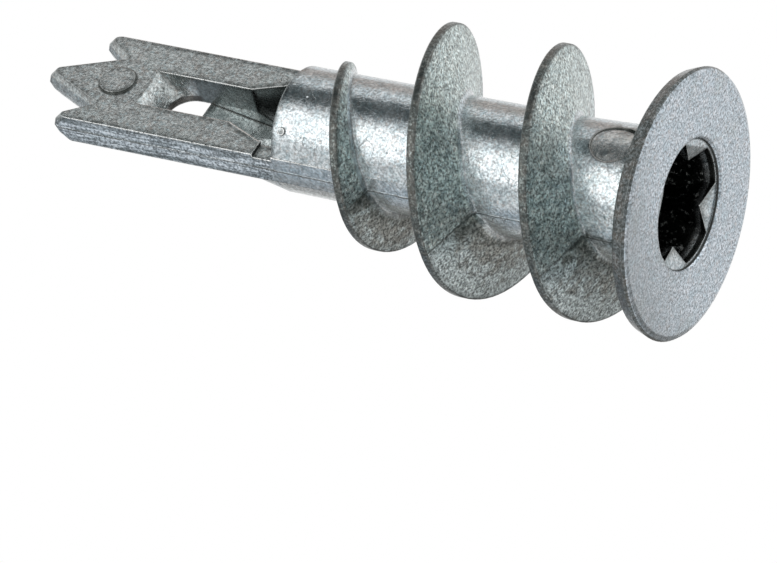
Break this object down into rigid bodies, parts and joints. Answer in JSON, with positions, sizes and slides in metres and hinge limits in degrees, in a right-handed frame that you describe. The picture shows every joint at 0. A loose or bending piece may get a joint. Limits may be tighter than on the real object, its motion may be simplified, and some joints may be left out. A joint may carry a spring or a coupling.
{
  "type": "plasterboard anchor",
  "caption": "Die-cast zinc self-drilling plasterboard anchor with deep screw flights, forked drill tip, cross recess in a thin flanged head and a bore for a wood-type screw",
  "frame": {"origin": "centre of the head's flat face, on the screw axis; the anchor stands on its head", "axes": "+Z along the axis from the head to the drill tip, X across the wide side of the drill blade, Y across its thickness, +Y the side with the open slot ramp"},
  "size_m": [0.015, 0.015, 0.0402],
  "materials": {
    "zinc": "bare die-cast zinc alloy, satin grey with a fine cast grain"
  },
  "bodies": {
    "root": {"anchor_body": "zinc"}
  },
  "joints": []
}
